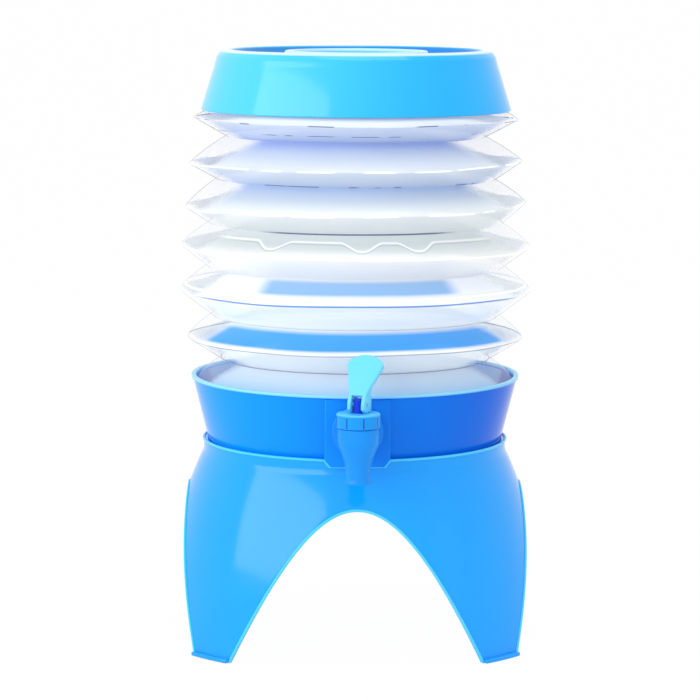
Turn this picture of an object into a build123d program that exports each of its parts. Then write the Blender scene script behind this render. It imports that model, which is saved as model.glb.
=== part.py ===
from build123d import *

import os
from math import cos, hypot, radians, sin

os.makedirs("parts", exist_ok=True)

# Driving dimensions in millimetres and degrees. Radii of the stand, cup, bellows and lid are from the
# vessel's upright axis, and heights are above the table unless the name says otherwise.

# Stand
ring_rise = 9.5  # the stand's top edge above the cup's foot
stand_wall = 2.2
stand_band = 6.5  # upright part of the ring, below its top edge
shoulder_drop = 32.5  # below the stand's top edge
shoulder_flare = 10.6  # how far the shoulder stands out from the ring
leg_drop = 66.5  # below the stand's top edge
leg_flare = 20.0
foot_radius = 120.0
foot_lip = 3.0
foot_lip_thickness = 2.4
arch_half_width = 74.0
arch_margin = 27.5  # between the arch's point and the stand's top edge
arch_point = 16.0  # half the distance between the two upper control points of the arch's curve
ledge_width = 6.0
ledge_thickness = 2.4

# Cup
cup_foot_height = 109.0
cup_taper = 12.0  # how much smaller the cup's foot is than its rim, in radius
cup_height = 48.5
cup_rim_radius = 98.3
cup_wall = 2.2
cup_floor = 2.5
rim_bead = 0.6
rim_bead_height = 2.2
cup_clearance = 0.4  # between the cup and the stand's ring

# Flat pad that carries the tap
pad_inset = 1.3  # between the pad's face and the front of the rim
pad_half_width = 19.0
pad_drop = 2.8  # how far the pad reaches below the stand's top edge
pad_chamfer = 3.6
pad_chamfer_height = 4.4
pad_wall = 2.4
pad_clearance = 0.7  # between the pad and the stand's notch

# Bellows
bellows_wall = 1.0
bellows_clearance = 0.35
tub_drop = 2.0  # below the cup's rim
valley_insets = [17.6, 12.1, 9.3, 10.2, 14.7, 20.4]  # inside the cup's rim
valley_rises = [12.1, 38.2, 67.7, 93.8, 120.0, 145.5]  # above the tub's top
tip_reaches = [2.9, 7.1, 7.0, 4.6, 1.6, -1.1]  # past the cup's rim
tip_rises = [25.0, 53.6, 80.3, 104.9, 130.2, 156.1]
neck_rise = 7.6  # from the last tip up to the foot of the neck
neck_length = 14.0

# Ring in the bellows' mouth
ring_wall = 2.4
ring_flange_thickness = 2.2
ring_depth = 13.0
ring_clearance = 0.15
ring_overhang = 1.4  # the flange's edge past the bellows' neck

# Lid
lid_height = 36.0
lid_inset = 5.3  # the lid's edge inside the cup's rim, in radius
lid_drop = 19.0  # how far the lid's edge hangs below the ring's flange
lid_lean = 0.31  # how far the side leans in for each millimetre of height
lid_wall = 2.2
lid_fit = 0.4  # between the lid's side and the ring's flange
lid_shoulder = 8.0
lid_top_band = 7.3  # from the side's line to the recess, on the top
lid_recess_slope = 1.4
lid_recess_depth = 3.6
centre_ring_radius = 43.5
centre_ring_width = 5.0
centre_ring_slope = 0.9
centre_ring_rise = 3.0
lid_gasket_thickness = 2.0
lid_gasket_width = 4.0
soft_gap = 0.3

# Tap
tap_gap = 7.9  # between the flange and the collar
shank_rise = 28.0  # above the cup's foot
shank_radius = 7.0
shank_bore_radius = 4.4
flange_radius = 14.8
flange_thickness = 2.4
tap_neck_radius = 5.2
gasket_thickness = 1.5
gasket_radius = 12.8
gasket_clearance = 0.2  # between a gasket or the walls and the shank
barrel_radius = 12.0
barrel_rise = 5.6  # above the shank's axis
barrel_drop = 2.5  # below the shank's axis
nozzle_radius = 7.15
nozzle_shoulder_drop = 18.0  # below the shank's axis
nozzle_drop = 26.4  # below the shank's axis
nozzle_wall = 1.5
nozzle_lip = 0.45
nozzle_lip_height = 1.2
chamber_radius = 9.0
seat_drop = 5.5  # below the shank's axis
seat_depth = 3.4
thread_radius = 10.6
thread_length = 6.3
nut_thickness = 9.0
nut_wing_thickness = 3.0
nut_radius = 11.5
nut_wing_reach = 14.2  # from the shank's axis to the middle of a wing's round end
nut_wing_radius = 4.2
nut_turn = 35.0
nut_fit = 0.1
shank_overhang = 2.0

# Collar
collar_radius = 12.7
collar_height = 8.2
collar_gap = 0.4
collar_roof = 1.6
collar_fit = 0.2
collar_edge = 0.8
notch_count = 8
notch_width = 0.9
notch_depth = 0.5
notch_turn = 13.0

# Valve
stem_radius = 2.8
running_fit = 0.06
stem_head_rise = 3.4  # above the pin
stem_edge = 0.8
plug_radius = 7.4
plug_cone = 2.0
plug_height = 4.2
plug_socket = 1.6
plug_waist = 4.2
plug_skirt = 1.8
plug_skirt_radius = 8.7
plug_fit = 0.05
spring_radius = 6.6
spring_wall = 0.9
valve_lift = 2.0

# Lever
lever_turn = 25.0
lever_lean = 34.0
lever_tilt = 50.0
pin_rise = 4.9  # above the collar's top
pin_radius = 1.3
heel_gap = 0.3
cam_points = 5
fork_half_width = 5.3
fork_cheek = 2.1
fork_back = 6.4
fork_front = 3.8
fork_front_height = 1.5
pin_fit = 0.02
paddle_foot_back = -2.0  # from the pin's axis, towards the back
paddle_foot_height = 5.4  # above the pin's axis
paddle_length = 26.0
paddle_thickness = 2.8
paddle_neck_half_width = 4.9
paddle_half_width = 11.0
paddle_shoulder = 19.0

# Places that follow from the driving dimensions
cup_foot_radius = cup_rim_radius - cup_taper
lid_radius = cup_rim_radius - lid_inset
valley_radii = [cup_rim_radius - inset for inset in valley_insets]
tip_radii = [cup_rim_radius + reach for reach in tip_reaches]
pad_reach = cup_rim_radius - pad_inset
tap_reach = pad_reach + gasket_thickness + flange_thickness + tap_gap + collar_radius
stand_height = cup_foot_height + ring_rise
shank_height = cup_foot_height + shank_rise
barrel_top = shank_height + barrel_rise
seat_height = shank_height - seat_drop
vessel_y = (tap_reach + collar_radius - max(tip_radii)) / 2
vessel_axis = Axis((0, vessel_y, 0), (0, 0, 1))
tap_axis = Axis((0, vessel_y - tap_reach, 0), (0, 0, 1))


def front(reach):
    """The upright plane that faces the front, at a distance in front of the vessel's axis."""
    return Plane((0, vessel_y - reach, 0), x_dir=(1, 0, 0), z_dir=(0, -1, 0))


def cup_radius(height):
    """The cup's outer radius at a height above the table."""
    share = (height - cup_foot_height) / cup_height
    return cup_foot_radius + (cup_rim_radius - cup_foot_radius) * share


def pad_outline(grow, top):
    """The corners of the tap's pad, grown or shrunk all round, up to a given height."""
    side = pad_half_width + grow
    foot = pad_foot - grow
    right = [(side - pad_chamfer, foot), (side, foot + pad_chamfer_height), (side, top)]
    return [(-x, z) for x, z in reversed(right)] + right


def inner_line(points, wall):
    """The points of a line that runs inside another, at the same distance from all its edges."""
    edges = []
    for (x, z), (next_x, next_z) in zip(points, points[1:]):
        length = hypot(next_x - x, next_z - z)
        along = ((next_x - x) / length, (next_z - z) / length)
        edges.append((x - along[1] * wall, z + along[0] * wall, *along))
    corners = [edges[0][:2]]
    for (x, z, dx, dz), (next_x, next_z, next_dx, next_dz) in zip(edges, edges[1:]):
        reach = ((next_x - x) * next_dz - (next_z - z) * next_dx) / (dx * next_dz - dz * next_dx)
        corners.append((x + dx * reach, z + dz * reach))
    return corners + [(points[-1][0] - edges[-1][3] * wall, points[-1][1] + edges[-1][2] * wall)]


section = front(0)
cup_rim = cup_foot_height + cup_height
tub_height = cup_rim - tub_drop
tub_floor = cup_foot_height + cup_floor
tub_radius = cup_radius(tub_height) - cup_wall - bellows_clearance
pad_foot = stand_height - pad_drop
pad_top = cup_rim - rim_bead_height
pad_depth = pad_reach - tub_radius / 2
pad_inside = pad_reach - pad_wall
bellows_pad = pad_inside - bellows_clearance
side_inset = lid_wall * hypot(1, lid_lean)
flange_edge = lid_radius - side_inset - lid_lean * lid_drop - lid_fit
neck_radius = flange_edge - ring_overhang
neck_foot = tub_height + tip_rises[-1] + neck_rise
neck_top = neck_foot + neck_length
flange_top = neck_top + ring_flange_thickness

# Stand: a turned shell with a ledge and a foot lip, cut by two crossing arches and the pad's notch
ring_radius = cup_radius(stand_height) + cup_clearance + stand_wall
arch_reach = 2 * (foot_radius + foot_lip)
arch_height = stand_height - arch_margin
with BuildPart() as stand:
    with BuildSketch(section):
        with BuildLine():
            outside, inside = [
                Spline(
                    (ring_radius - inset, stand_height - stand_band),
                    (ring_radius + shoulder_flare - inset, stand_height - shoulder_drop),
                    (ring_radius + leg_flare - inset, stand_height - leg_drop),
                    (foot_radius - inset, 0),
                )
                for inset in (0, stand_wall)
            ]
            Polyline(
                outside @ 0,
                (ring_radius, stand_height),
                (ring_radius - stand_wall, stand_height),
                inside @ 0,
            )
            Line(outside @ 1, inside @ 1)
        make_face()
        with Locations((foot_radius - stand_wall, 0)):
            Rectangle(stand_wall + foot_lip, foot_lip_thickness, align=(Align.MIN, Align.MIN))
        with Locations((ring_radius, cup_foot_height)):
            Rectangle(ledge_width, ledge_thickness, align=(Align.MAX, Align.MAX))
    revolve(axis=vessel_axis)
    for turn in (0, 90):
        with BuildSketch(section.rotated((0, 0, turn))):
            with BuildLine():
                arch = Bezier(
                    (-arch_half_width, 0),
                    (-arch_point, arch_height * 4 / 3),
                    (arch_point, arch_height * 4 / 3),
                    (arch_half_width, 0),
                )
                Line(arch @ 0, arch @ 1)
            make_face()
        extrude(amount=arch_reach, both=True, mode=Mode.SUBTRACT)
    with BuildSketch(front(cup_foot_radius / 2)):
        with BuildLine():
            Polyline(*pad_outline(pad_clearance, cup_rim), close=True)
        make_face()
    extrude(amount=arch_reach, mode=Mode.SUBTRACT)

# Cup: a turned cup with a raised flat pad, hollow behind, and a hole for the tap's shank
with BuildPart() as base_cup:
    with BuildSketch(section):
        with BuildLine():
            Polyline(
                (0, cup_foot_height),
                (cup_foot_radius, cup_foot_height),
                (cup_rim_radius, cup_rim),
                (0, cup_rim),
                close=True,
            )
        make_face()
        with Locations((cup_rim_radius - cup_wall, cup_rim)):
            Rectangle(cup_wall + rim_bead, rim_bead_height, align=(Align.MIN, Align.MAX))
    revolve(axis=vessel_axis)
    with BuildSketch(front(pad_reach)):
        with BuildLine():
            Polyline(*pad_outline(0, pad_top), close=True)
        make_face()
    extrude(amount=-pad_depth)
    with BuildSketch(section):
        with BuildLine():
            Polyline(
                (0, tub_floor),
                (cup_radius(tub_floor) - cup_wall, tub_floor),
                (cup_rim_radius - cup_wall, cup_rim),
                (0, cup_rim),
                close=True,
            )
        make_face()
    revolve(axis=vessel_axis, mode=Mode.SUBTRACT)
    with BuildSketch(front(pad_inside)):
        with BuildLine():
            Polyline(*pad_outline(-pad_wall, pad_top), close=True)
        make_face()
    extrude(amount=-pad_depth, mode=Mode.SUBTRACT)
    with BuildSketch(front(pad_reach)):
        with Locations((0, shank_height)):
            Circle(shank_radius + gasket_clearance)
    extrude(amount=-2 * pad_wall, mode=Mode.SUBTRACT)

# Bellows: one thin skin from its closed foot over the folds to the neck
skin_points = [(0, tub_floor), (cup_radius(tub_floor) - cup_wall - bellows_clearance, tub_floor)]
skin_points += [(tub_radius, tub_height)]
for valley, valley_rise, tip, tip_rise in zip(valley_radii, valley_rises, tip_radii, tip_rises):
    skin_points += [(valley, tub_height + valley_rise), (tip, tub_height + tip_rise)]
skin_points += [(neck_radius, neck_foot), (neck_radius, neck_top)]
with BuildPart() as bellows:
    with BuildSketch(section):
        with BuildLine():
            skin = Polyline(*skin_points)
            Polyline(skin @ 0, (0, neck_top), skin @ 1)
        make_face()
    revolve(axis=vessel_axis)
    with BuildSketch(front(bellows_pad)):
        with BuildLine():
            Polyline(*pad_outline(-pad_wall - bellows_clearance, pad_top - bellows_clearance), close=True)
        make_face()
    extrude(amount=-pad_depth)
    with BuildSketch(section):
        with BuildLine():
            lining = Polyline(*inner_line(skin_points, bellows_wall))
            Polyline(lining @ 0, (0, neck_top), lining @ 1)
        make_face()
    revolve(axis=vessel_axis, mode=Mode.SUBTRACT)
    with BuildSketch(front(bellows_pad - bellows_wall)):
        with BuildLine():
            Polyline(
                *pad_outline(
                    -pad_wall - bellows_clearance - bellows_wall,
                    pad_top - bellows_clearance - bellows_wall,
                ),
                close=True,
            )
        make_face()
    extrude(amount=-pad_depth, mode=Mode.SUBTRACT)
    with BuildSketch(front(pad_reach)):
        with Locations((0, shank_height)):
            Circle(shank_radius + gasket_clearance)
    extrude(amount=-3 * pad_wall, mode=Mode.SUBTRACT)

# Ring in the bellows' mouth: a sleeve with a flange that covers the neck's edge
sleeve_radius = neck_radius - bellows_wall - ring_clearance
with BuildPart() as neck_ring:
    with BuildSketch(section):
        with Locations((sleeve_radius - ring_wall, neck_top - ring_depth)):
            Rectangle(ring_wall, ring_depth, align=(Align.MIN, Align.MIN))
        with Locations((sleeve_radius - ring_wall, neck_top)):
            Rectangle(
                flange_edge - sleeve_radius + ring_wall,
                ring_flange_thickness,
                align=(Align.MIN, Align.MIN),
            )
    revolve(axis=vessel_axis)

# Lid: a tapered cap with a soft shoulder, a recessed top and a raised ring at its centre
lid_foot = flange_top - lid_drop
lid_top = lid_foot + lid_height
lid_recess_radius = lid_radius - lid_lean * lid_height - lid_top_band
recess_floor = lid_top - lid_recess_depth
roof = recess_floor - lid_wall
gasket_top = flange_top + lid_gasket_thickness
gasket_inner = sleeve_radius - ring_wall
centre_ring_top = recess_floor + centre_ring_rise
with BuildPart() as lid:
    with BuildSketch(section):
        with BuildLine():
            side = FilletPolyline(
                (lid_radius, lid_foot),
                (lid_radius - lid_lean * lid_height, lid_top),
                (lid_recess_radius, lid_top),
                radius=lid_shoulder,
            )
            Polyline(
                (lid_recess_radius, lid_top),
                (lid_recess_radius - lid_recess_slope, recess_floor),
                (centre_ring_radius, recess_floor),
                (centre_ring_radius - centre_ring_slope, centre_ring_top),
                (centre_ring_radius - centre_ring_width, centre_ring_top),
                (centre_ring_radius - centre_ring_width - centre_ring_slope, recess_floor),
                (0, recess_floor),
                (0, roof),
                (lid_radius - side_inset - lid_lean * (roof - lid_foot), roof),
                (lid_radius - side_inset, lid_foot),
                (lid_radius, lid_foot),
            )
        make_face()
        with Locations((gasket_inner, gasket_top)):
            Rectangle(lid_gasket_width, roof - gasket_top, align=(Align.MIN, Align.MIN))
    revolve(axis=vessel_axis)

with BuildPart() as lid_gasket:
    with BuildSketch(section):
        with Locations((gasket_inner, flange_top)):
            Rectangle(lid_gasket_width, lid_gasket_thickness, align=(Align.MIN, Align.MIN))
    revolve(axis=vessel_axis)

# Tap body: barrel and nozzle, neck, flange and hollow shank in one moulding
flange_back = pad_reach + gasket_thickness
flange_front = flange_back + flange_thickness
nut_back = bellows_pad - bellows_wall - gasket_thickness
nut_front = nut_back - nut_thickness
shank_end = nut_front - shank_overhang
outlet_radius = nozzle_radius - nozzle_wall
thread_top = barrel_top + thread_length
barrel_shoulder = shank_height - barrel_drop
nozzle_shoulder = shank_height - nozzle_shoulder_drop
nozzle_height = shank_height - nozzle_drop
with BuildPart() as tap_body:
    with BuildSketch(front(tap_reach)):
        with BuildLine():
            Polyline(
                (0, nozzle_height),
                (nozzle_radius + nozzle_lip, nozzle_height),
                (nozzle_radius + nozzle_lip, nozzle_height + nozzle_lip_height),
                (nozzle_radius, nozzle_height + 2 * nozzle_lip_height),
                (nozzle_radius, nozzle_shoulder),
            )
            Spline(
                (nozzle_radius, nozzle_shoulder),
                (barrel_radius, barrel_shoulder),
                tangents=((0, 1), (0, 1)),
            )
            Polyline(
                (barrel_radius, barrel_shoulder),
                (barrel_radius, barrel_top),
                (thread_radius, barrel_top),
                (thread_radius, thread_top),
                (0, thread_top),
                (0, nozzle_height),
            )
        make_face()
    revolve(axis=tap_axis)
    for radius, near, far in (
        (tap_neck_radius, flange_front, tap_reach),
        (flange_radius, flange_back, flange_front),
        (shank_radius, shank_end, flange_back),
    ):
        with BuildSketch(front(far)):
            with Locations((0, shank_height)):
                Circle(radius)
        extrude(amount=near - far)
    with BuildSketch(front(tap_reach)):
        with BuildLine():
            Polyline(
                (0, nozzle_height),
                (outlet_radius, nozzle_height),
                (outlet_radius, seat_height - seat_depth),
                (chamber_radius, seat_height),
                (chamber_radius, thread_top),
                (0, thread_top),
                close=True,
            )
        make_face()
    revolve(axis=tap_axis, mode=Mode.SUBTRACT)
    with BuildSketch(front(tap_reach)):
        with Locations((0, shank_height)):
            Circle(shank_bore_radius)
    extrude(amount=shank_end - tap_reach, mode=Mode.SUBTRACT)

# Soft rings on the shank, outside the pad and inside the bellows
with BuildPart() as tap_gasket:
    with BuildSketch(front(flange_back)):
        with Locations((0, shank_height)):
            Circle(gasket_radius)
            Circle(shank_radius + gasket_clearance, mode=Mode.SUBTRACT)
    extrude(amount=-gasket_thickness)

with BuildPart() as inner_gasket:
    with BuildSketch(front(bellows_pad - bellows_wall)):
        with Locations((0, shank_height)):
            Circle(gasket_radius)
            Circle(shank_radius + gasket_clearance, mode=Mode.SUBTRACT)
    extrude(amount=-gasket_thickness)

# Nut: a round hub with wings in a cross, past the tub's wall
with BuildPart() as tap_nut:
    with BuildSketch(front(nut_back)):
        with Locations((0, shank_height)):
            Circle(nut_radius)
    extrude(amount=-nut_thickness)
    with BuildSketch(front(nut_front)):
        with Locations((0, shank_height)):
            for turn in (0, 90):
                SlotCenterToCenter(2 * nut_wing_reach, 2 * nut_wing_radius, rotation=nut_turn + turn)
    extrude(amount=nut_wing_thickness)
    with BuildSketch(front(nut_back)):
        with Locations((0, shank_height)):
            Circle(shank_radius + nut_fit)
    extrude(amount=-nut_thickness, mode=Mode.SUBTRACT)

# Collar: a screw cap with upright notches and a hole for the stem
collar_foot = barrel_top + collar_gap
collar_top = collar_foot + collar_height
with BuildPart() as tap_collar:
    with BuildSketch(front(tap_reach)):
        with BuildLine():
            Polyline(
                (collar_radius, collar_foot),
                (collar_radius, collar_top - collar_edge),
                (collar_radius - collar_edge, collar_top),
                (stem_radius + running_fit, collar_top),
                (stem_radius + running_fit, collar_top - collar_roof),
                (thread_radius + collar_fit, collar_top - collar_roof),
                (thread_radius + collar_fit, collar_foot),
                close=True,
            )
        make_face()
    revolve(axis=tap_axis)
    with BuildSketch(Plane((0, vessel_y - tap_reach, collar_foot))):
        with PolarLocations(collar_radius, notch_count, start_angle=notch_turn - 90):
            Rectangle(2 * notch_depth, notch_width)
    extrude(amount=collar_height - 2 * collar_edge, mode=Mode.SUBTRACT)

# Valve: the stem runs from the plug through the collar to the pin
collar_roof_foot = collar_top - collar_roof
pin_height = collar_top + pin_rise
plug_foot = seat_height - seat_depth + soft_gap
skirt_foot = shank_height + shank_bore_radius + soft_gap
skirt_top = skirt_foot + plug_skirt
lever_axis = Vector(cos(radians(lever_turn)), -sin(radians(lever_turn)), 0)
lever_back = Vector(sin(radians(lever_turn)), cos(radians(lever_turn)), 0)
pivot = Vector(0, vessel_y - tap_reach, pin_height)
lever_side = Plane(pivot, x_dir=lever_back, z_dir=lever_axis)
with BuildPart() as valve_stem:
    with BuildSketch(Plane((0, vessel_y - tap_reach, plug_foot + plug_socket))):
        Circle(stem_radius)
    extrude(amount=pin_height + stem_head_rise - plug_foot - plug_socket)
    chamfer(valve_stem.faces().sort_by(Axis.Z)[-1].edges(), stem_edge)
    with BuildSketch(lever_side):
        Circle(pin_radius + running_fit)
    extrude(amount=2 * stem_radius, both=True, mode=Mode.SUBTRACT)

with BuildPart() as valve_plug:
    with BuildSketch(front(tap_reach)):
        with BuildLine():
            Polyline(
                (0, plug_foot),
                (outlet_radius - soft_gap, plug_foot),
                (plug_radius, plug_foot + plug_cone),
                (plug_radius, plug_foot + plug_height),
                (plug_waist, plug_foot + plug_height),
                (plug_waist, skirt_foot),
                (plug_skirt_radius, skirt_foot),
                (plug_skirt_radius, skirt_top),
                (stem_radius + plug_fit, skirt_top),
                (stem_radius + plug_fit, plug_foot + plug_socket),
                (0, plug_foot + plug_socket),
                close=True,
            )
        make_face()
    revolve(axis=tap_axis)

with BuildPart() as valve_spring:
    with BuildSketch(Plane((0, vessel_y - tap_reach, skirt_top))):
        Circle(spring_radius)
        Circle(spring_radius - spring_wall, mode=Mode.SUBTRACT)
    extrude(amount=collar_roof_foot - skirt_top)

# Lever: a fork whose heel is a cam, and a paddle that leans back
heel_drop = pin_rise - heel_gap
cam_rate = valve_lift / radians(lever_tilt)


def heel_point(tilt):
    """The point of the cam that is lowest when the lever has tilted forward by an angle."""
    reach = heel_drop + cam_rate * tilt
    back = -reach * sin(tilt) - cam_rate * cos(tilt)
    up = -reach * cos(tilt) + cam_rate * sin(tilt)
    return back, up


lean = radians(lever_lean)
paddle_back_height = (
    paddle_foot_height
    - paddle_thickness * sin(lean)
    + (fork_back - paddle_foot_back - paddle_thickness * cos(lean)) / sin(lean) * cos(lean)
)
paddle_foot = pivot + lever_back * paddle_foot_back + Vector(0, 0, paddle_foot_height)
paddle_normal = Vector(0, 0, sin(lean)) - lever_back * cos(lean)
with BuildPart() as lever:
    with BuildSketch(lever_side):
        with BuildLine():
            heel = Spline(*[heel_point(radians(lever_tilt) * n / (cam_points - 1)) for n in range(cam_points)])
            Polyline(
                heel @ 1,
                (-fork_front, fork_front_height),
                (paddle_foot_back, paddle_foot_height),
                (fork_back, paddle_back_height),
                (fork_back, -heel_drop),
                heel @ 0,
            )
        make_face()
    extrude(amount=fork_half_width, both=True)
    with BuildSketch(lever_side):
        with Locations((fork_back, paddle_foot_height)):
            Rectangle(3 * fork_back, 4 * heel_drop, align=(Align.MAX, Align.MAX))
    extrude(amount=fork_half_width - fork_cheek, both=True, mode=Mode.SUBTRACT)
    with BuildSketch(Plane(paddle_foot, x_dir=lever_axis, z_dir=paddle_normal)):
        with BuildLine():
            Polyline(
                (-paddle_half_width, paddle_shoulder),
                (-paddle_neck_half_width, 0),
                (paddle_neck_half_width, 0),
                (paddle_half_width, paddle_shoulder),
            )
            ThreePointArc(
                (paddle_half_width, paddle_shoulder),
                (0, paddle_length),
                (-paddle_half_width, paddle_shoulder),
            )
        make_face()
    extrude(amount=-paddle_thickness)
    with BuildSketch(lever_side):
        Circle(pin_radius + pin_fit)
    extrude(amount=2 * fork_half_width, both=True, mode=Mode.SUBTRACT)

with BuildPart() as lever_pin:
    with BuildSketch(lever_side):
        Circle(pin_radius)
    extrude(amount=fork_half_width, both=True)

pieces = {
    "stand": stand,
    "base_cup": base_cup,
    "bellows": bellows,
    "neck_ring": neck_ring,
    "lid": lid,
    "lid_gasket": lid_gasket,
    "tap_body": tap_body,
    "tap_collar": tap_collar,
    "tap_gasket": tap_gasket,
    "inner_gasket": inner_gasket,
    "tap_nut": tap_nut,
    "valve_stem": valve_stem,
    "valve_plug": valve_plug,
    "valve_spring": valve_spring,
    "lever": lever,
    "lever_pin": lever_pin,
}
for name, piece in pieces.items():
    piece.part.label = name
    export_step(piece.part, f"parts/{name}.step")
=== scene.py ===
from math import asin, atan2, cos, pi, radians, sin

import bmesh
import bpy
from mathutils import Matrix, Vector


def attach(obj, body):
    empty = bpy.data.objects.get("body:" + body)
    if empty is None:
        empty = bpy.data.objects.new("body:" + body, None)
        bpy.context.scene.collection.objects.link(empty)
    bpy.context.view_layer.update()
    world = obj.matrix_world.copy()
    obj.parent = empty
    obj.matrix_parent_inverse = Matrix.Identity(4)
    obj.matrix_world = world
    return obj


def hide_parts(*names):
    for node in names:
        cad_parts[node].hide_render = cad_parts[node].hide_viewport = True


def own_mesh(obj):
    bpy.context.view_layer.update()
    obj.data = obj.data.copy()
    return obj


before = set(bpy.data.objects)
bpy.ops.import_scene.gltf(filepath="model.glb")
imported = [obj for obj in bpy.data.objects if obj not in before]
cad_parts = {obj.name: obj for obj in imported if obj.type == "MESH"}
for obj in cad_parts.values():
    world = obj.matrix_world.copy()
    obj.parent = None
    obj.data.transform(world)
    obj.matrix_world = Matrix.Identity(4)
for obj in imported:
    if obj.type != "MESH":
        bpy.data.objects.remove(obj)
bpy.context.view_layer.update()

mm = 0.001

# The stand: one blue moulding, a ring on four legs between four arches, that the cup drops into.
# It is laid out as one leg with its half arches, repeated four times, then cut for the tap's pad
# and given its wall. Sizes are in millimetres, and radii are from the vessel's upright axis.
vessel_back = 14.4
vessel = Vector((0, vessel_back * mm, 0))
up = Vector((0, 0, 1))
stand_points = [(91.25, 112.0), (101.85, 86.0), (111.25, 52.0), (120.0, 0.0)]
stand_height = 118.5
stand_wall = 2.2
arch_height = 91.0
arch_half_width = 74.0
arch_point = 16.0
rows_arch, rows_ring, columns = 34, 12, 30
notch_foot = Vector((16.1, 0, 115.0)) * mm
notch_rise, notch_spread = 4.4, 3.6
notch_side_cut, notch_foot_cut = 26, 20
front_line = -60 * mm
ring_foot = 108 * mm
above_soles = 0.5 * mm
weld = 0.01 * mm


class Wire:
    """A socket of a material's nodes. Sums written with it add their Math nodes."""

    def __init__(self, tree, socket):
        self.tree = tree
        self.socket = socket

    def maths(self, operation, *values):
        node = self.tree.nodes.new("ShaderNodeMath")
        node.operation = operation
        for entry, value in zip(node.inputs, values):
            if isinstance(value, Wire):
                self.tree.links.new(value.socket, entry)
            else:
                entry.default_value = value
        return Wire(self.tree, node.outputs[0])

    def __add__(self, other):
        return self.maths("ADD", self, other)

    def __sub__(self, other):
        return self.maths("SUBTRACT", self, other)

    def __mul__(self, other):
        return self.maths("MULTIPLY", self, other)

    def __truediv__(self, other):
        return self.maths("DIVIDE", self, other)

    def __rsub__(self, other):
        return self.maths("SUBTRACT", other, self)

    def __lt__(self, other):
        return self.maths("LESS_THAN", self, other)

    def __abs__(self):
        return self.maths("ABSOLUTE", self)

    __radd__ = __add__
    __rmul__ = __mul__

    def fraction(self):
        return self.maths("FRACT", self)

    def root(self):
        return self.maths("SQRT", self)

    def capped(self):
        """The value where it is below 1, and 1 elsewhere."""
        return self.maths("MINIMUM", self, 1.0)

    def larger(self, other):
        return self.maths("MAXIMUM", self, other)

    def band(self, low, high):
        """0 at low and 1 at high, smooth between, whichever of the two is larger."""
        node = self.tree.nodes.new("ShaderNodeMapRange")
        node.interpolation_type = "SMOOTHSTEP"
        self.tree.links.new(self.socket, node.inputs["Value"])
        node.inputs["From Min"].default_value = low
        node.inputs["From Max"].default_value = high
        return Wire(self.tree, node.outputs[0])


class Finish:
    """A material, built one node at a time."""

    def __init__(self, name):
        self.material = bpy.data.materials.new(name)
        self.material.use_nodes = True
        self.tree = self.material.node_tree
        self.tree.nodes.clear()

    def node(self, kind, settings=(), sockets=(), out=0):
        """Adds a node, sets it, feeds its sockets and returns one of its outputs."""
        node = self.tree.nodes.new("ShaderNode" + kind)
        for key, value in dict(settings).items():
            if key == "stops":
                ramp = node.color_ramp
                while len(ramp.elements) < len(value):
                    ramp.elements.new(0.5)
                for stop, (place, colour) in zip(ramp.elements, value):
                    stop.position = place
                    stop.color = colour
            else:
                setattr(node, key, value)
        for key, value in dict(sockets).items():
            if isinstance(value, Wire):
                self.tree.links.new(value.socket, node.inputs[key])
            else:
                node.inputs[key].default_value = value
        return Wire(self.tree, node.outputs[out]) if node.outputs else None

    def place(self):
        return self.node("TexCoord", out="Object")

    def axes(self, place):
        """A place's x, y and z, in millimetres."""
        node = self.tree.nodes.new("ShaderNodeSeparateXYZ")
        self.tree.links.new(place.socket, node.inputs[0])
        return [Wire(self.tree, output) / mm for output in node.outputs]

    def noise(self, vector, scale, detail=2.0, roughness=0.5):
        sockets = {"Vector": vector, "Scale": scale, "Detail": detail, "Roughness": roughness}
        return self.node("TexNoise", sockets=sockets)

    def stretched(self, place, scale):
        """A place with each axis scaled, for a noise with long or flat grains."""
        return self.node("Mapping", sockets={"Vector": place, "Scale": scale})

    def blend(self, share, low, high):
        """A colour from low at 0 to high at 1, through the colour sockets of a Mix node."""
        return self.node("Mix", {"data_type": "RGBA"}, {0: share, 6: low, 7: high}, out=2)

    def surface(self, sockets):
        shader = self.node("BsdfPrincipled", sockets=sockets)
        self.node("OutputMaterial", sockets={"Surface": shader})
        return self.material


def linear(level):
    """A screen's level of a colour, from 0 to 255, as an amount of light."""
    level /= 255
    return level / 12.92 if level <= 0.04045 else ((level + 0.055) / 1.055) ** 2.4


def rgb(red, green, blue):
    """A colour given as on a screen, from 0 to 255, made linear."""
    return linear(red), linear(green), linear(blue), 1.0


def blue_plastic(name, colour, pale, roughness, painted_light=None, gloss=0.14):
    """Glossy blue moulded plastic: slow variation of depth, faint flow ripple and tiny scuffs."""
    finish = Finish(name)
    place = finish.place()
    cloud = finish.noise(place, 9.0, 3.0).band(0.35, 0.68)
    colour = finish.blend(cloud * 0.35, colour, pale)
    # Painted light, where given: highlights and shade painted into the colour by the piece's own function.
    if painted_light:
        colour = painted_light(finish, place, colour)
    ripple = finish.noise(place, 38.0, 1.0)
    scuff = finish.noise(place, 420.0, 4.0, 0.65)
    relief = {"Strength": 0.06, "Distance": 0.002, "Height": ripple + scuff * 0.04}
    return finish.surface({
        "Base Color": colour,
        "Roughness": roughness + scuff.band(0.52, 0.75) * 0.12,
        "IOR": 1.5,
        "Specular IOR Level": gloss,
        "Coat Weight": gloss * 0.4,
        "Coat Roughness": 0.05,
        "Normal": finish.node("Bump", sockets=relief),
    })


def piece(name, mesh, material, body, node=None, sharp=38):
    """Makes an object of a bmesh, smooth apart from its sharp edges, that rides on a body."""
    data = bpy.data.meshes.new(name)
    mesh.to_mesh(data)
    mesh.free()
    thing = bpy.data.objects.new(name, data)
    bpy.context.scene.collection.objects.link(thing)
    data.materials.append(material)
    data.shade_smooth()
    data.set_sharp_from_angle(angle=radians(sharp))
    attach(thing, body)
    if node:
        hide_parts(node)
    return thing


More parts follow.
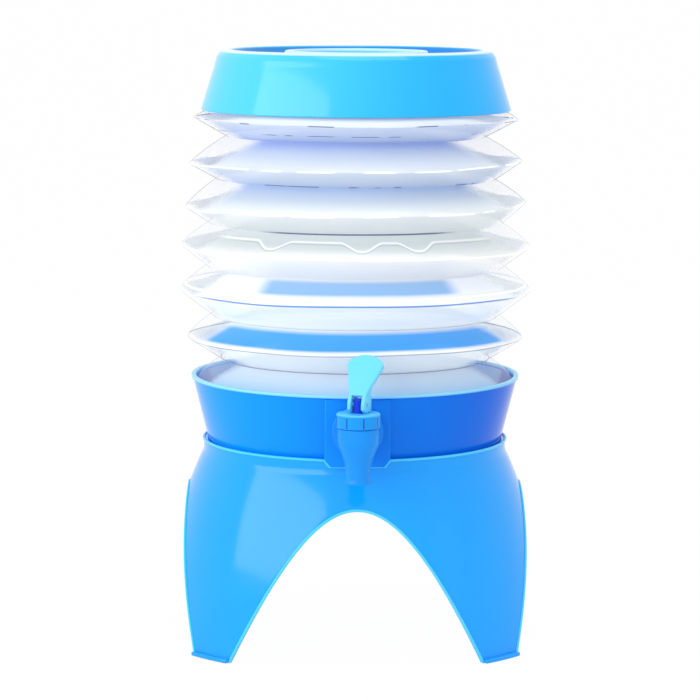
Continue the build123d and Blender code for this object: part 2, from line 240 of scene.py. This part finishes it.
def round_edges(thing, segments, angle):
    """Rounds a piece's edges that turn by more than an angle, as the mould leaves them."""
    rounding = thing.modifiers.new("edge", "BEVEL")
    rounding.width = 0.6 * mm
    rounding.segments = segments
    rounding.limit_method = "ANGLE"
    rounding.angle_limit = radians(angle)


def stand_radius(height):
    """The stand's outer radius: one smooth curve through its four points."""
    total = 0.0
    for radius, level in stand_points:
        share = radius
        for _, other in stand_points:
            if other != level:
                share *= (height - other) / (level - other)
        total += share
    return total if height < stand_points[0][1] else stand_points[0][0]


def arch_reach(step):
    """A place on the arch's curve: (half width, height), from its foot at 0 to its point at 1."""
    t = step / 2
    half = arch_half_width * ((1 - t) ** 3 - t**3) + 3 * arch_point * t * (1 - t) * (1 - 2 * t)
    return half, 4 * arch_height * t * (1 - t)


def cut_ring_front(mesh, half_width, place, normal):
    """Cuts the faces at the front of the stand's ring along a plane, and takes nothing away."""
    front = []
    for face in mesh.faces:
        centre = face.calc_center_median()
        if centre.y < front_line and abs(centre.x) < half_width * mm and centre.z > ring_foot:
            front.append(face)
    edges = dict.fromkeys(edge for face in front for edge in face.edges)
    verts = dict.fromkeys(vert for face in front for vert in face.verts)
    geom = front + list(edges) + list(verts)
    bmesh.ops.bisect_plane(mesh, geom=geom, plane_co=place, plane_no=normal, dist=weld)


stand_blue = blue_plastic("stand blue plastic", rgb(10, 158, 250), rgb(14, 170, 255), 0.14, gloss=0.26)
stand_mesh = bmesh.new()
bmesh.ops.create_grid(stand_mesh, x_segments=columns, y_segments=rows_arch + rows_ring, size=1.0)
for vert in stand_mesh.verts:
    across, row = vert.co.x, (vert.co.y + 1) / 2 * (rows_arch + rows_ring)
    if row < rows_arch:
        half, height = arch_reach(row / rows_arch)
    else:
        half, height = 0.0, arch_height + (stand_height - arch_height) * (row - rows_arch) / rows_ring
    radius = stand_radius(height)
    turn = pi / 4 * (1 + across) - asin(half / radius) * across
    vert.co = Vector((sin(turn) * radius * mm, -cos(turn) * radius * mm, height * mm)) + vessel
leg = stand_mesh.faces[:]
bmesh.ops.spin(stand_mesh, geom=leg, cent=vessel, axis=up, angle=pi * 1.5, steps=3, use_duplicate=True)
bmesh.ops.remove_doubles(stand_mesh, verts=stand_mesh.verts[:], dist=weld)
bmesh.ops.recalc_face_normals(stand_mesh, faces=stand_mesh.faces[:])
for side in (-1, 1):
    corner = Vector((side * notch_foot.x, 0, notch_foot.z))
    cut_ring_front(stand_mesh, notch_side_cut, corner, Vector((side * notch_rise, 0, -notch_spread)))
cut_ring_front(stand_mesh, notch_foot_cut, notch_foot, up)
notch = []
for face in stand_mesh.faces:
    centre = face.calc_center_median()
    above = centre.z - notch_foot.z
    half_gap = notch_foot.x + above * notch_spread / notch_rise
    if centre.y < front_line and above > 0 and abs(centre.x) < half_gap:
        notch.append(face)
bmesh.ops.delete(stand_mesh, geom=notch, context="FACES")
bead_lines = [
    [vert.co.copy() for vert in edge.verts]
    for edge in stand_mesh.edges
    if edge.is_boundary and max(vert.co.z for vert in edge.verts) > above_soles
]
stand = piece("stand", stand_mesh, stand_blue, "stand", "stand")
wall = stand.modifiers.new("wall", "SOLIDIFY")
wall.thickness = stand_wall * mm
wall.offset = -1.0
wall.use_even_offset = True
round_edges(stand, 3, 50)

# The stand's rolled edge: a thin bead that stiffens the wall's edges, part of the same moulding.
# It follows the arches, the ring's top and the notch, a little proud of the wall, in a paler blue
# that is a painted highlight.
bead_data = bpy.data.meshes.new("stand_bead")
bead_mesh = bmesh.new()
for ends in bead_lines:
    bead_mesh.edges.new([bead_mesh.verts.new(end) for end in ends])
bmesh.ops.remove_doubles(bead_mesh, verts=bead_mesh.verts[:], dist=weld)
bead_mesh.to_mesh(bead_data)
bead_mesh.free()
bead = bpy.data.objects.new("stand_bead", bead_data)
bpy.context.scene.collection.objects.link(bead)
bpy.ops.object.select_all(action="DESELECT")
bead.select_set(True)
bpy.context.view_layer.objects.active = bead
bpy.ops.object.convert(target="CURVE")
bead = bpy.context.view_layer.objects.active
bead.data.bevel_depth = 0.85 * mm
bead.data.bevel_resolution = 3
bpy.ops.object.convert(target="MESH")
bead = bpy.context.view_layer.objects.active
# The bead's paler blue is a painted highlight.
bead.data.materials.append(
    blue_plastic("stand edge blue plastic with painted highlight", rgb(70, 205, 250), rgb(120, 222, 255), 0.3)
)
bead.data.shade_smooth()
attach(bead, "stand")

# The feet's lips: an outward flange at the foot of each leg, of the stand's blue plastic.
# Each is a small flat section swept round the sole, between the feet of two arches.
foot_radius = stand_points[-1][0]
lip_in, lip_out = foot_radius - 2.1, foot_radius + 3.0
lip_height = 2.4
lip_turn = asin(arch_half_width / foot_radius)
foot_mesh = bmesh.new()
for quarter in range(4):
    corners = [(lip_in, 0.0), (lip_out, 0.0), (lip_out, lip_height), (lip_in, lip_height)]
    ring = [foot_mesh.verts.new(vessel + Vector((radius, 0, height)) * mm) for radius, height in corners]
    end = foot_mesh.faces.new(ring)
    start = Matrix.Rotation(lip_turn + quarter * pi / 2, 3, "Z")
    bmesh.ops.rotate(foot_mesh, verts=ring, cent=vessel, matrix=start)
    bmesh.ops.spin(foot_mesh, geom=[end], cent=vessel, axis=up, angle=pi / 2 - 2 * lip_turn, steps=8)
bmesh.ops.recalc_face_normals(foot_mesh, faces=foot_mesh.faces[:])
feet = piece("stand_feet", foot_mesh, stand_blue, "stand")
round_edges(feet, 2, 30)

# The cup: a tapered blue moulding with a thin rolled rim that holds the foot of the bellows.
# It is turned as one closed section, wall and floor.
cup_foot, cup_floor, cup_rim = 109.0, 111.5, 157.5


def spun(mesh, centre, axis, steps):
    """Turns a mesh's edges all the way round an axis, with faces that point outwards."""
    line = mesh.edges[:]
    bmesh.ops.spin(mesh, geom=line, cent=centre, axis=axis, angle=2 * pi, steps=steps, use_merge=True)
    bmesh.ops.remove_doubles(mesh, verts=mesh.verts[:], dist=weld)
    bmesh.ops.recalc_face_normals(mesh, faces=mesh.faces[:])
    return mesh


def turned(points, centre=vessel, axis=up, steps=160, rounds=0.0, closed=True):
    """A bmesh turned from a section given as (radius, height) in millimetres."""
    mesh = bmesh.new()
    across = Vector((1, 0, 0))
    verts = [mesh.verts.new(centre + (across * radius + axis * height) * mm) for radius, height in points]
    for one, two in zip(verts, verts[1:]):
        mesh.edges.new((one, two))
    if closed:
        mesh.edges.new((verts[-1], verts[0]))
    if rounds:
        off_axis = [vert for vert in verts if (vert.co - centre).dot(across) > 0.5 * mm]
        bmesh.ops.bevel(
            mesh, geom=off_axis, offset=rounds * mm, offset_type="OFFSET", segments=4, profile=0.5,
            affect="VERTICES", clamp_overlap=True, material=-1,
        )
    return spun(mesh, centre, axis, steps)


def cup_painted_light(finish, place, colour):
    """A painted highlight along the rim, and painted shade making the cup a deeper blue towards the right.
    """
    x, _, z = finish.axes(place)
    # Painted shade towards the right, then a painted highlight along the rim.
    colour = finish.blend(x.band(-70, 95), colour, rgb(10, 104, 226))
    return finish.blend(z.band(cup_rim - 2.1, cup_rim - 0.9) * 0.85, colour, rgb(150, 228, 255))


cup_blue = blue_plastic("cup blue plastic", rgb(12, 148, 250), rgb(14, 160, 255), 0.12, cup_painted_light, 0.08)
cup_section = [
    (0, cup_foot), (86.3, cup_foot), (97.8, 155.3), (98.9, 155.6), (98.9, cup_rim), (96.1, cup_rim),
    (84.6, cup_floor), (0, cup_floor),
]
piece("cup", turned(cup_section, rounds=0.35), cup_blue, "container", "base_cup")

# The cup's pad: a raised flat face that the tap's gasket seals on, moulded with the cup.
# It is a plate with cut-off lower corners and an eased front edge, let into the cup's wall.
pad_front = vessel_back - 97.0
pad_depth = 11.0
pad_outline = [(-15.4, 115.7), (15.4, 115.7), (19.0, 120.1), (19.0, 155.3), (-19.0, 155.3), (-19.0, 120.1)]


def push_out(mesh, outline, push):
    """Adds a flat outline to a mesh and makes it a solid by a push, all in millimetres."""
    face = mesh.faces.new([mesh.verts.new(Vector(point) * mm) for point in outline])
    pushed = bmesh.ops.extrude_face_region(mesh, geom=[face])
    far = [part for part in pushed["geom"] if isinstance(part, bmesh.types.BMVert)]
    bmesh.ops.translate(mesh, vec=Vector(push) * mm, verts=far)
    bmesh.ops.recalc_face_normals(mesh, faces=mesh.faces[:])


def ease(mesh, edges, offset, segments):
    """Bevels some of a mesh's edges, by an offset in millimetres."""
    bmesh.ops.bevel(
        mesh, geom=edges, offset=offset * mm, segments=segments, profile=0.5, affect="EDGES", material=-1
    )


pad_mesh = bmesh.new()
push_out(pad_mesh, [(x, pad_front, z) for x, z in pad_outline], (0, pad_depth, 0))
front_edges = [
    edge for edge in pad_mesh.edges if all(vert.co.y < (pad_front + 0.1) * mm for vert in edge.verts)
]
ease(pad_mesh, front_edges, 0.9, 3)
piece("cup_pad", pad_mesh, cup_blue, "container")

# The bellows: one clear soft moulding of six outward folds and a half-fold, held between cup and lid.
# The skin is turned through its fold corners. Each point keeps its place along the folds, 0 at the cup,
# 1 at the first valley, 2 at the first tip and so on, for the mist, the painted highlights and shade on the
# creases, and the painted reflection of the cup's blue.
valleys = [(80.7, 167.6), (86.2, 193.7), (89.0, 223.2), (88.1, 249.3), (83.6, 275.5), (77.9, 301.0)]
tips = [(101.2, 180.5), (105.4, 209.1), (105.3, 235.8), (102.9, 260.4), (99.9, 285.7), (97.2, 311.6)]
tip_tilts = [0.2, 0.0, -0.4, 1.3, 0.7, -0.4]
tip_blunt = 0.35
upper_bulge, lower_bulge = 1.1, 0.3
edge_waves = [(0.35, 3, 1), (0.2, 7, 2)]
reach_wave = 0.003
tub_top = (95.2, 155.5)
neck_foot = (83.0, 319.2)
spans = 12
corners = [tub_top]
for valley, tip in zip(valleys, tips):
    corners += [valley, tip]
corners += [neck_foot]
fold_count = len(corners) - 1
skin_mesh = bmesh.new()
along = skin_mesh.verts.layers.float.new("fold")
last = None
for step, (one, two) in enumerate(zip(corners, corners[1:])):
    upper_flank = step % 2 == 0
    for part in range(spans + (step == fold_count - 1)):
        share = part / spans
        radius = one[0] + (two[0] - one[0]) * share
        radius += (upper_bulge if upper_flank else lower_bulge) * sin(pi * share)
        if step and upper_flank and part == 0:
            radius -= tip_blunt
        height = one[1] + (two[1] - one[1]) * share
        vert = skin_mesh.verts.new(vessel + Vector((radius, 0, height)) * mm)
        vert[along] = step + share
        if last:
            skin_mesh.edges.new((last, vert))
        last = vert
spun(skin_mesh, vessel, up, 192)
for vert in skin_mesh.verts:
    step = vert[along]
    nearest = min(max(int((step - 1) // 2), 0), len(tips) - 1)
    hold = max(0.0, 1 - abs(step - 2 * (nearest + 1)))
    turn = atan2(vert.co.x, vessel.y - vert.co.y)
    rise = tip_tilts[nearest] * sin(turn)
    rise += sum(size * sin(count * turn + shift * nearest) for size, count, shift in edge_waves)
    vert.co.z += hold * rise * mm
    out = (vert.co - vessel) * Vector((1, 1, 0))
    vert.co += out * hold * reach_wave * sin(4 * turn + 1.7 * nearest)

# The bellows' finish: clear plastic, seen as a pale field in the middle of each fold and nearly clear at
# its wings, with painted highlights and painted shade on the creases and along its outline, the cup's blue
# painted in as a reflection in the folds' fields, a faint painted glow, and beads of water higher up.
# Places are along the folds.
# Colours up the folds; their blue fields are the cup seen through the folds, painted in as a reflection.
field_shades = [
    (0.0, (168, 208, 240)), (0.5, (204, 226, 242)), (0.95, (226, 234, 240)),
    (1.1, (242, 246, 244)), (1.9, (242, 246, 244)),
    (2.12, (240, 243, 246)), (2.22, (44, 150, 234)), (2.8, (56, 156, 236)), (2.95, (206, 218, 236)),
    (3.1, (248, 250, 246)), (3.9, (244, 248, 244)),
    (4.1, (240, 243, 246)), (4.36, (226, 232, 240)), (4.46, (124, 178, 232)), (4.86, (134, 182, 232)),
    (5.0, (226, 228, 234)), (5.9, (236, 238, 236)),
    (6.1, (230, 233, 230)), (6.6, (206, 216, 214)), (6.95, (214, 222, 222)),
    (7.5, (214, 222, 224)), (8.1, (222, 228, 230)), (8.6, (190, 204, 222)), (8.95, (166, 188, 226)),
    (9.2, (190, 204, 224)), (9.9, (206, 216, 228)),
    (10.2, (210, 218, 230)), (10.6, (196, 208, 230)), (10.96, (150, 172, 226)),
    (11.2, (186, 202, 228)), (12.0, (206, 216, 234)), (12.3, (236, 240, 244)),
]
field_cover = [
    (0.0, 0.72), (1.0, 0.72), (1.1, 0.85), (2.1, 0.8), (2.25, 0.93), (2.9, 0.93), (3.1, 0.86), (4.0, 0.8),
    (4.4, 0.82), (5.0, 0.8), (6.0, 0.8), (6.4, 0.62), (7.0, 0.68), (8.0, 0.8), (9.0, 0.86), (12.0, 0.86),
    (12.3, 0.72), (13.0, 0.7),
]
drip_level, drip_fall = 6.68, 0.32
drip_turns = (-0.53, 0.02, 0.36)
clear = Finish("clear bellows plastic")
place = clear.place()
fold = clear.node("Attribute", {"attribute_name": "fold"}, out="Fac")
x, y, _ = clear.axes(place)
turn = x.maths("ARCTAN2", x, vessel_back - y)
aside = abs(turn)
facing = clear.node("LayerWeight", sockets={"Blend": 0.5}, out="Facing")
upper = (fold / 2.0).fraction() < 0.5
haze = clear.noise(place, 28.0, 4.0, 0.6)
streak = clear.noise(clear.stretched(place, (1, 1, 6)), 24.0, 3.0, 0.55)
dash = clear.noise(clear.stretched(place, (1, 1, 0.2)), 55.0, 1.0, 0.4)


def up_the_folds(stops):
    """A colour by the place along the folds."""
    stops = [(at / fold_count, colour) for at, colour in stops]
    return clear.node("ValToRGB", {"stops": stops}, {"Fac": fold / fold_count})


def crease(at, width):
    """1 on a line round the folds, 0 past a width from it, in parts of a flank."""
    return abs(fold - at).band(width, width * 0.45)


edge_on = facing + haze * 0.08
middle = edge_on.band(0.70, 0.60) * upper + edge_on.band(0.93, 0.80) * (1 - upper)
field = up_the_folds([(at, rgb(*shade)) for at, shade in field_shades])
# The cup's blue, painted as a reflection on the second fold, fades to near white towards its sides.
patch_side = aside.band(0.54, 0.68) * fold.band(4.25, 4.4) * fold.band(5.0, 4.9)
field = clear.blend(patch_side, field, rgb(240, 244, 252))
colour = clear.blend(middle, rgb(250, 252, 254), field)
cover = up_the_folds([(at, (level, level, level, 1)) for at, level in field_cover])
opacity = middle * cover + (1 - middle) * (0.12 + haze * 0.1)

# Painted shade and painted highlights on the creases: dark blue, dark and grey lines, white lines and
# dashes.
crest_blue_shade = crease(4.0, 0.045) * aside.band(1.25, 0.9)
crease_dark_shade = (
    crease(7.0, 0.05) * aside.band(0.75, 0.5) + crease(9.06, 0.04) * dash.band(0.56, 0.6)
    + crease(12.0, 0.05) * dash.band(0.56, 0.62) + crease(11.4, 0.03) * dash.band(0.6, 0.64)
)
crease_grey_shade = crease(2.0, 0.035) + crease(1.0, 0.03) + crease(3.0, 0.02) * 0.5
crease_highlight = (
    crease(10.0, 0.05) * dash.band(0.4, 0.5) + crease(8.0, 0.05) * dash.band(0.42, 0.5)
    + crease(6.0, 0.05) + crease(4.25, 0.05)
)
# A drip line of water round the folds, shown only by a painted highlight along it and painted shade just
# under it.
drip = drip_level
for drip_turn in drip_turns:
    drip = drip - abs(turn - drip_turn).band(0.13, 0.01) * drip_fall
drip_line = abs(fold - drip).band(0.06, 0.025) * aside.band(1.15, 1.0)
drip_shade = abs(fold - drip + 0.075).band(0.04, 0.015) * aside.band(0.9, 0.7)
# Painted shade along the outline of the folds, where the clear skin is seen edge-on at the sides.
rim = facing.band(0.9, 0.97) * aside.band(0.95, 1.25)
for share, shade in [
    (crease_highlight.capped(), (255, 255, 255)),
    (crease_grey_shade.capped() * 0.8, (130, 142, 160)),
    (crest_blue_shade * 0.9, (52, 122, 206)),
    (crease_dark_shade.capped() * 0.85, (70, 92, 140)),
    (drip_shade * 0.45, (150, 160, 168)),
    (drip_line, (255, 255, 255)),
    (rim * 0.95, (52, 60, 74)),
]:
    colour = clear.blend(share, colour, rgb(*shade))
lines = (crest_blue_shade + crease_dark_shade + crease_grey_shade + crease_highlight + rim).capped()
opacity = opacity + (1 - opacity) * lines * 0.8

misted = fold.band(7.6, 8.2)
drops = clear.node("TexVoronoi", {}, {"Vector": place, "Scale": 260.0, "Randomness": 1.0}, out="Distance")
beads = drops.band(0.32, 0.1) * misted * haze.band(0.5, 0.62)
relief = {"Strength": 0.25, "Distance": 0.002, "Height": streak * 0.5 + beads * 0.25}
clear_skin = clear.surface({
    "Base Color": colour,
    "Roughness": 0.1 + misted * 0.15,
    "IOR": 1.4,
    "Alpha": opacity,
    # A faint painted glow in the skin's own colours, standing in for light passing through the clear
    # plastic.
    "Emission Color": colour,
    "Emission Strength": 0.14,
    "Normal": clear.node("Bump", sockets=relief),
})
skin = piece("bellows", skin_mesh, clear_skin, "container", "bellows", sharp=30)
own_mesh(skin)

# The tub: the closed foot of the bellows inside the cup, the same clear moulding.
# It lies just inside the cup's wall and floor, as a thin skin.
tub_mesh = turned([(0, cup_floor + 0.2), (84.0, cup_floor + 0.2), (94.9, tub_top[1])], closed=False)
piece("bellows_tub", tub_mesh, clear_skin, "container", None)

# The mouth: the bellows' straight neck, and a stiff clear sleeve with a flange inside it, under the lid.
# Both go down with the lid when the bellows folds.
ring_foot_height, ring_flange, ring_top = 320.2, 333.2, 335.4
ring_bore, ring_outside, ring_edge = 79.45, 81.85, 84.4
ring_section = [
    (ring_bore, ring_foot_height), (ring_outside, ring_foot_height), (ring_outside, ring_flange),
    (ring_edge, ring_flange), (ring_edge, ring_top), (ring_bore, ring_top),
]
neck_skin_mesh = turned([(neck_foot[0], 316.8), (neck_foot[0], ring_flange)], closed=False)
piece("bellows_neck", neck_skin_mesh, clear_skin, "top", None)
piece("neck_ring", turned(ring_section, rounds=0.3), clear_skin, "top", "neck_ring")

# The lid: one blue moulding pressed over the ring, leaning in to a round shoulder, with a sunk top.
# It is turned as one closed section with its wall, and a raised ring in the middle of its top.
lid_foot, lid_top = 316.4, 352.4
lid_floor, lid_ceiling = 348.8, 346.6
lid_ring_top = 351.8


def lid_painted_light(finish, place, colour):
    """Painted highlights on the shoulder and centre ring, painted shade in the recess, by radius and height.
    """
    x, y, height = finish.axes(place)
    back = y - vessel_back
    reach = (x * x + back * back).root()
    shoulder = height.band(lid_top - 1.8, lid_top - 0.6) * reach.band(75.2, 76.4)
    recess = height.band(lid_top - 0.1, lid_top - 1.2) * reach.band(75.6, 74.4) * reach.band(46.0, 60.0)
    ring = reach.band(44.5, 43.2) * reach.band(37.0, 38.4) * height.band(lid_floor + 0.4, lid_floor + 2.0)
    # Painted light: paler blue to the left, towards the light.
    colour = finish.blend(x.band(-95, 60), rgb(76, 200, 252), colour)
    # Painted shade in the recess, then painted highlights on the shoulder and the centre ring.
    colour = finish.blend(recess * 0.75, colour, rgb(28, 116, 204))
    colour = finish.blend(shoulder * 0.8, colour, rgb(226, 248, 255))
    return finish.blend(ring * 0.8, colour, rgb(206, 240, 255))


lid_blue = blue_plastic("lid blue plastic", rgb(24, 176, 250), rgb(30, 186, 255), 0.14, lid_painted_light, 0.26)
lid_section = [
    (93.0, lid_foot), (84.3, 344.6), (83.3, 348.6), (80.9, 351.4), (77.6, lid_top), (74.5, lid_top),
    (73.1, lid_floor), (43.5, lid_floor), (42.6, lid_ring_top), (38.5, lid_ring_top), (37.6, lid_floor),
    (0, lid_floor), (0, lid_ceiling), (81.3, lid_ceiling), (90.7, lid_foot),
]
piece("lid", turned(lid_section, rounds=0.9, steps=200), lid_blue, "lid", "lid")

# The tap's body: nozzle, barrel, neck and flange in one blue moulding that passes through the pad.
# The nozzle and barrel are turned upright; the neck and flange are turned on the level axis of the shank.
tap_front = -107.1
shank_height = 137.0
water_way = 5.65
tap = Vector((0, tap_front * mm, 0))
shank_line = Vector((0, 0, shank_height * mm))
forward = Vector((0, -1, 0))
tap_blue = blue_plastic("tap blue plastic", rgb(22, 142, 238), rgb(36, 156, 246), 0.24)
barrel_section = [
    (water_way, 110.6), (7.6, 110.6), (7.6, 111.8), (7.15, 113.0), (7.15, 119.0), (7.5, 121.5),
    (8.6, 125.0), (10.2, 129.0), (11.4, 132.0), (12.0, 134.5), (12.0, 142.6), (10.6, 142.6),
    (10.6, 148.0), (water_way, 148.0),
]
barrel_mesh = turned(barrel_section, centre=tap, rounds=0.3, steps=96)
piece("tap_barrel", barrel_mesh, tap_blue, "container", "tap_body")
flange_back, flange_front, neck_front = 98.5, 100.9, 116.0
flange_section = [
    (0, flange_back), (14.8, flange_back), (14.8, flange_front), (5.2, flange_front), (5.2, neck_front),
    (0, neck_front),
]
flange_section = [(radius, reach - vessel_back) for radius, reach in flange_section]
flange_mesh = turned(flange_section, centre=shank_line, axis=forward, rounds=0.4, steps=96)
piece("tap_flange", flange_mesh, tap_blue, "container")

# The collar: the blue screw cap that closes the barrel and guides the stem.
# It is a turned ring; its eight upright grip notches are not cut but shown by painted shade, as they are
# shallow.
collar_foot, collar_top = 143.0, 151.2
collar_bore, collar_radius = 2.9, 12.7
grip_turn = radians(13.0)
grip_pitch = 2 * pi / 8
collar_section = [
    (collar_bore, collar_foot), (collar_radius, collar_foot), (collar_radius, collar_top - 0.8),
    (collar_radius - 0.8, collar_top), (collar_bore, collar_top),
]


def collar_painted_light(finish, place, colour):
    """Painted shade in the eight grip notches, which are not cut, and a painted highlight on the top edge.
    """
    x, y, z = finish.axes(place)
    turn = x.maths("ARCTAN2", x, tap_front - y)
    within = ((turn + (pi - grip_turn + grip_pitch / 2)) / grip_pitch).fraction()
    notch = abs(within - 0.5).band(0.05, 0.03)
    notch = notch * z.band(collar_foot + 0.2, collar_foot + 0.8) * z.band(collar_top - 1.4, collar_top - 2.0)
    # Painted highlight on the top edge, then painted shade in the uncut notches.
    colour = finish.blend(z.band(collar_top - 1.3, collar_top - 0.4) * 0.7, colour, rgb(92, 206, 255))
    return finish.blend(notch * 0.85, colour, rgb(8, 70, 160))


collar_blue = blue_plastic("collar blue plastic", rgb(22, 146, 236), rgb(36, 160, 244), 0.24, collar_painted_light)
collar_mesh = turned(collar_section, centre=tap, rounds=0.25, steps=96)
piece("tap_collar", collar_mesh, collar_blue, "container", "tap_collar")

# The lever: a fork on a pin, a cam heel and a wide paddle, moulded in one; its paler blue is painted light.
# The fork's two cheeks are drawn from the side, and the paddle on its own leaning face. Both are drawn
# about the pin and then set in place, turned as the lever stands at rest.
lever_turn = radians(25)
lean = radians(34)
pin_height = 156.1
cheek_outline = [(-1.3, -4.6), (-4.2, -2.6), (-3.8, 1.5), (-2.0, 5.4), (4.6, 13.6), (6.4, 15.5), (6.4, -4.6)]
cheek_starts = (-5.3, 3.2)
cheek_width = 2.1
paddle_foot, paddle_half, paddle_shoulder, paddle_crown = 4.9, 11.0, 19.0, 7.0
paddle_thickness = 2.8
across = Vector((cos(lever_turn), -sin(lever_turn), 0))
back = Vector((sin(lever_turn), cos(lever_turn), 0))
pivot = tap + up * pin_height * mm
# The paler blue is painted light: the paddle faces up into the light.
lever_lit_blue = blue_plastic("lever blue plastic", rgb(104, 208, 248), rgb(140, 222, 252), 0.25)


def set_in(mesh, origin, right, ahead, above):
    """Moves a mesh drawn in its own axes to its place."""
    turn = Matrix((right, ahead, above)).transposed().to_4x4()
    bmesh.ops.transform(mesh, matrix=Matrix.Translation(origin) @ turn, verts=mesh.verts[:])


fork_mesh = bmesh.new()
for start in cheek_starts:
    push_out(fork_mesh, [(start, y, z) for y, z in cheek_outline], (cheek_width, 0, 0))
ease(fork_mesh, fork_mesh.edges[:], 0.3, 2)
set_in(fork_mesh, pivot, across, back, up)
piece("lever_fork", fork_mesh, lever_lit_blue, "lever", "lever")

paddle_outline = [(-paddle_foot, 0, 0), (paddle_foot, 0, 0)]
for step in range(13):
    turn = pi * step / 12
    paddle_outline.append((paddle_half * cos(turn), paddle_shoulder + paddle_crown * sin(turn), 0))
paddle_mesh = bmesh.new()
push_out(paddle_mesh, paddle_outline, (0, 0, -paddle_thickness))
flat_edges = [
    edge for edge in paddle_mesh.edges if abs(edge.verts[0].co.z - edge.verts[1].co.z) < 0.1 * mm
]
ease(paddle_mesh, flat_edges, 0.6, 3)
paddle_up = back * sin(lean) + up * cos(lean)
paddle_face = up * sin(lean) - back * cos(lean)
paddle_root = pivot - back * 2 * mm + up * 5.4 * mm
set_in(paddle_mesh, paddle_root, across, paddle_up, paddle_face)
piece("lever_paddle", paddle_mesh, lever_lit_blue, "lever")

# The soft rings, the nut, the stem, the pin and the valve: silicone, blue plastic and steel.
# They are the part's own solids, kept as they are and given their finish.
silicone = Finish("pale silicone")
grain = silicone.noise(silicone.place(), 300.0, 3.0)
soft = silicone.surface({
    "Base Color": silicone.blend(grain, rgb(222, 226, 228), rgb(236, 238, 240)),
    "Roughness": 0.55 + grain * 0.1,
})
# The stem's blue is made dark as painted shade, for the shadow it sits in.
stem_shaded_blue = blue_plastic("stem blue plastic", rgb(14, 58, 204), rgb(18, 66, 214), 0.3)
steel = Finish("spring steel")
grain = steel.noise(steel.place(), 500.0, 2.0)
wire_steel = steel.surface({
    "Base Color": rgb(180, 182, 186),
    "Metallic": 1.0,
    "Roughness": 0.25 + grain * 0.15,
})
inner_finishes = {
    "lid_gasket": soft, "tap_gasket": soft, "inner_gasket": soft, "valve_plug": soft,
    "valve_spring": wire_steel, "tap_nut": tap_blue, "valve_stem": stem_shaded_blue, "lever_pin": lever_lit_blue,
}
for name, finish in inner_finishes.items():
    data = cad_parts[name].data
    data.materials.clear()
    data.materials.append(finish)


# The floor and the light: a white table in a white room, with soft light from the left and above.
# Rays that show the background see both as plain white, and the rest light the object plainly.
def background_rays(tree):
    """1 for a ray from the camera, off a gloss or through the clear plastic."""
    path = tree.nodes.new("ShaderNodeLightPath").outputs
    camera, glossy, through = [
        Wire(tree, path[name]) for name in ("Is Camera Ray", "Is Glossy Ray", "Is Transmission Ray")
    ]
    return camera.larger(glossy).larger(through)


white = Finish("white table")
glow = white.node("Emission", sockets={"Color": (1, 1, 1, 1), "Strength": 1.0})
matt = white.node("BsdfDiffuse", sockets={"Color": (0.9, 0.9, 0.9, 1)})
table = white.node("MixShader", sockets={0: background_rays(white.tree) * 0.985, 1: matt, 2: glow})
white.node("OutputMaterial", sockets={"Surface": table})
floor_mesh = bmesh.new()
bmesh.ops.create_circle(floor_mesh, cap_ends=True, radius=60.0, segments=64)
floor_data = bpy.data.meshes.new("floor")
floor_mesh.to_mesh(floor_data)
floor_mesh.free()
floor = bpy.data.objects.new("floor", floor_data)
floor_data.materials.append(white.material)
bpy.context.scene.collection.objects.link(floor)

room_light = 0.65
world = bpy.data.worlds.new("studio")
bpy.context.scene.world = world
world.use_nodes = True
nodes, links = world.node_tree.nodes, world.node_tree.links
nodes.clear()
strength = background_rays(world.node_tree) * (1 - room_light) + room_light
backdrop = nodes.new("ShaderNodeBackground")
backdrop.inputs["Color"].default_value = (1, 1, 1, 1)
links.new(strength.socket, backdrop.inputs["Strength"])
links.new(backdrop.outputs[0], nodes.new("ShaderNodeOutputWorld").inputs["Surface"])


def softbox(name, place, target, width, height, power):
    """A rectangular lamp that faces a point."""
    data = bpy.data.lights.new(name, "AREA")
    data.shape = "RECTANGLE"
    data.size = width
    data.size_y = height
    data.energy = power
    lamp = bpy.data.objects.new(name, data)
    lamp.location = place
    lamp.rotation_euler = (Vector(target) - Vector(place)).to_track_quat("-Z", "Y").to_euler()
    bpy.context.scene.collection.objects.link(lamp)
    return lamp


softbox("left softbox", (-1.18, -0.92, 0.66), (0, 0, 0.15), 1.7, 0.75, 14)
softbox("right softbox", (1.2, -0.7, 0.5), (0, 0, 0.17), 0.3, 0.9, 3).visible_glossy = False
softbox("top softbox", (0.1, -0.2, 1.4), (0, 0, 0.2), 0.8, 0.8, 5)

# The camera: the photograph's view, from nearly straight ahead and a little above, with a long lens.
# The focal length and the pan are in pixels of a square image.
image_width = 700
focal, pan = 3060.0, 5.0
distance, camera_height = 1.836, 0.4104
azimuth, look_down, roll = radians(1.0), radians(7.42), radians(0.25)
camera_data = bpy.data.cameras.new("camera")
camera_data.sensor_width = 36.0
camera_data.lens = camera_data.sensor_width * focal / image_width
camera = bpy.data.objects.new("camera", camera_data)
bpy.context.scene.collection.objects.link(camera)
camera.matrix_world = (
    Matrix.Translation(vessel + Vector((-sin(azimuth) * distance, -cos(azimuth) * distance, camera_height)))
    @ Matrix.Rotation(atan2(pan, focal) - azimuth, 4, "Z")
    @ Matrix.Rotation(pi / 2 - look_down, 4, "X")
    @ Matrix.Rotation(roll, 4, "Z")
)
bpy.context.scene.camera = camera
bpy.context.scene.view_settings.view_transform = "Standard"
